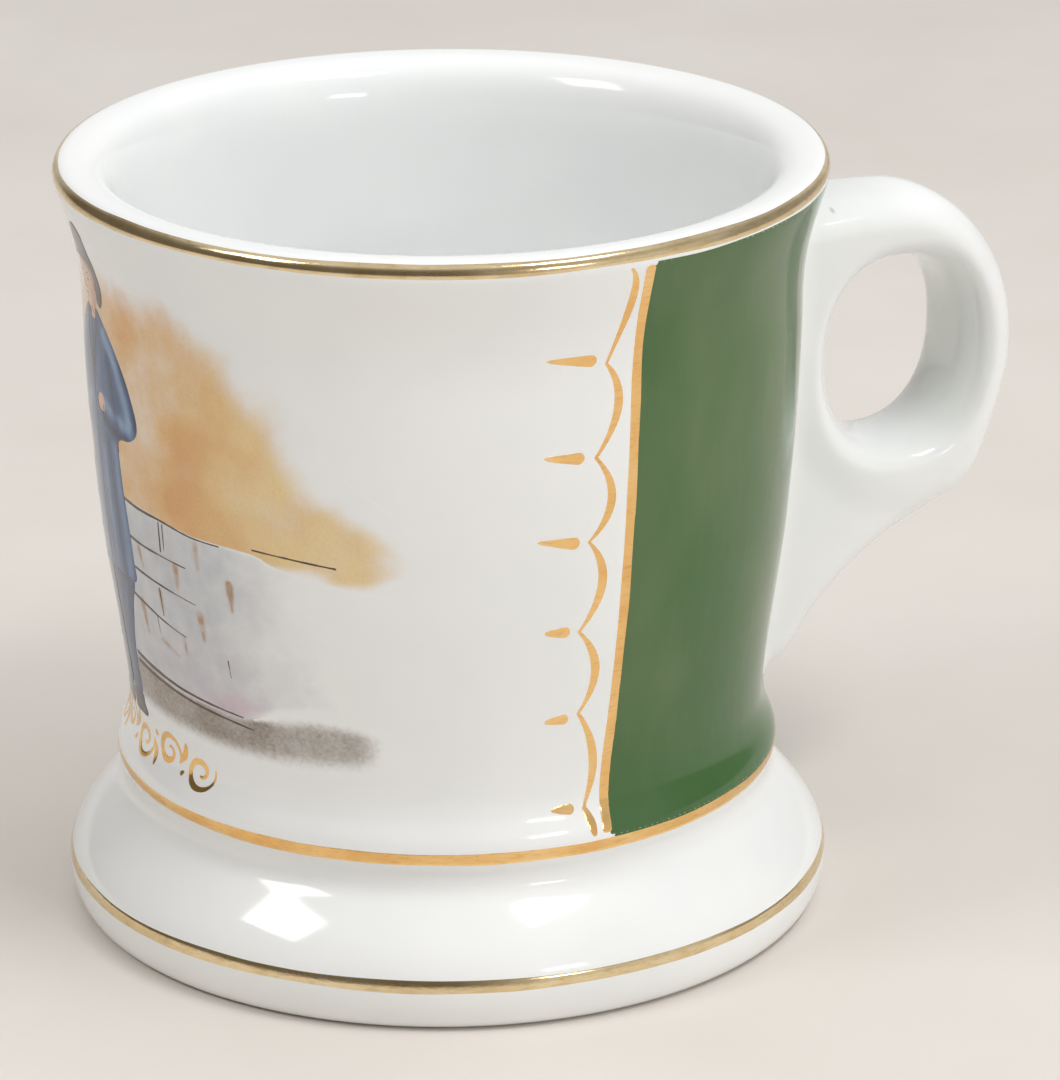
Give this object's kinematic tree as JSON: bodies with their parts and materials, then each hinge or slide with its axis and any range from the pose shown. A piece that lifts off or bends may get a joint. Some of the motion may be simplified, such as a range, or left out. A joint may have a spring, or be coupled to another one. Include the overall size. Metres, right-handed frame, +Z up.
{
  "type": "shaving mug",
  "caption": "Porcelain shaving mug with a flared rim, ring handle with lower spur, hollow spreading foot, green panel, gold lines and a painted scene.",
  "frame": {"origin": "centre of the foot's resting ring, on the plane the mug stands on", "axes": "+Z up along the cup's axis; +X from the cup's axis towards the handle; the painted picture faces -X"},
  "size_m": [0.1203, 0.0916, 0.092],
  "materials": {
    "porcelain": "glossy clear glaze over white porcelain",
    "gold": "fired burnished gold, softly worn",
    "green_enamel": "glossy green overglaze enamel",
    "sky_enamel": "soft airbrushed orange and tan wash, glossy",
    "wall_enamel": "pale grey wash with thin brown lines, glossy",
    "ground_enamel": "grey-brown stippled wash, glossy",
    "coat_enamel": "blue-grey painted enamel, glossy",
    "trouser_enamel": "slate-blue painted enamel, glossy",
    "shoe_enamel": "dark brown painted enamel, glossy",
    "skin_enamel": "warm painted enamel, glossy",
    "hat_enamel": "charcoal painted enamel, glossy"
  },
  "bodies": {
    "root": {"mug_body": "porcelain", "handle": "porcelain", "rim_gold_band": "gold", "waist_gold_band": "gold", "foot_gold_band": "gold", "green_panel": "green_enamel", "panel_stripe_near": "gold", "panel_stripe_far": "gold", "scallop_line_near": "gold", "scallop_line_far": "gold", "gold_drops_near": "gold", "gold_drops_far": "gold", "gold_flourish": "gold", "picture_sky": "sky_enamel", "picture_wall": "wall_enamel", "picture_ground": "ground_enamel", "figure_coat": "coat_enamel", "figure_trousers": "trouser_enamel", "figure_shoes": "shoe_enamel", "figure_head": "skin_enamel", "figure_hat": "hat_enamel"}
  },
  "joints": []
}
